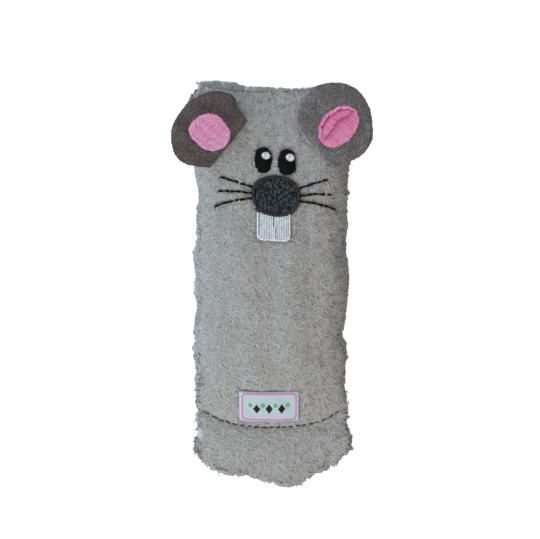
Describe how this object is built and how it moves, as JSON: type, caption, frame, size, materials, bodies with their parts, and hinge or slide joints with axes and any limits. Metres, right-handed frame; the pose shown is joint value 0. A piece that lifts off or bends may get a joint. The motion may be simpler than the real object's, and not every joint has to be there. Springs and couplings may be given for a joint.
{
  "type": "catnip mouse",
  "caption": "Flat stuffed plush cat toy shaped as a mouse, with folding velour ears, an embroidered face, a catnip pouch inside and a loose cuff below the closing stitch.",
  "frame": {"origin": "on the flat back that the toy lies on, under the middle of its width, 71.7 mm above the closing stitch", "axes": "+X to the viewer's right of the face, +Y to the toe seam above the ears, +Z out of the face"},
  "size_m": [0.099, 0.2024, 0.0414],
  "materials": {
    "plush": "matte",
    "velour": "matte",
    "pink_thread": "satin",
    "black_thread": "satin",
    "white_thread": "satin",
    "nose_cloth": "matte",
    "grey_thread": "matte",
    "seam_thread": "matte",
    "satin_ribbon": "satin",
    "fibre": "matte",
    "nonwoven": "matte",
    "dried_herb": "matte"
  },
  "bodies": {
    "body": {"body_sleeve": "plush", "left_ear_seam": "velour", "right_ear_seam": "velour", "left_eye": "black_thread", "right_eye": "black_thread", "nose_border": "black_thread", "whisker_left_upper": "black_thread", "whisker_left_middle": "black_thread", "whisker_left_lower": "black_thread", "whisker_right_upper": "black_thread", "whisker_right_middle": "black_thread", "whisker_right_lower": "black_thread", "left_eye_highlight": "white_thread", "right_eye_highlight": "white_thread", "left_tooth": "white_thread", "right_tooth": "white_thread", "left_tooth_border": "white_thread", "right_tooth_border": "white_thread", "label_stitch_left": "white_thread", "label_stitch_right": "white_thread", "nose_patch": "nose_cloth", "closing_stitch_front": "grey_thread", "closing_stitch_back": "grey_thread", "toe_seam_thread": "seam_thread", "label": "satin_ribbon", "stuffing_front": "fibre", "stuffing_back": "fibre", "sachet_front": "nonwoven", "sachet_back": "nonwoven", "face_backing": "nonwoven", "catnip_fill": "dried_herb"},
    "left_ear": {"left_ear_front": "velour", "left_ear_back": "velour", "left_ear_oval": "pink_thread"},
    "right_ear": {"right_ear_front": "velour", "right_ear_back": "velour", "right_ear_oval": "pink_thread"},
    "cuff": {"cuff_sleeve": "plush"}
  },
  "joints": [
    {"name": "left_ear_fold", "type": "hinge", "parent": "body", "child": "left_ear", "pos_m": [-0.0222, 0.0709, 0.02285], "axis": [0.6179, 0.7768, -0.1212], "range_deg": [-49, 71], "stiffness_Nm_per_rad": 0.003},
    {"name": "right_ear_fold", "type": "hinge", "parent": "body", "child": "right_ear", "pos_m": [0.0222, 0.0709, 0.02285], "axis": [0.6179, -0.7768, 0.1212], "range_deg": [-10, 110], "stiffness_Nm_per_rad": 0.003},
    {"name": "cuff_fold", "type": "hinge", "parent": "body", "child": "cuff", "pos_m": [0, -0.0717, 0.006], "axis": [-1, 0, 0], "range_deg": [-55, 55]}
  ]
}
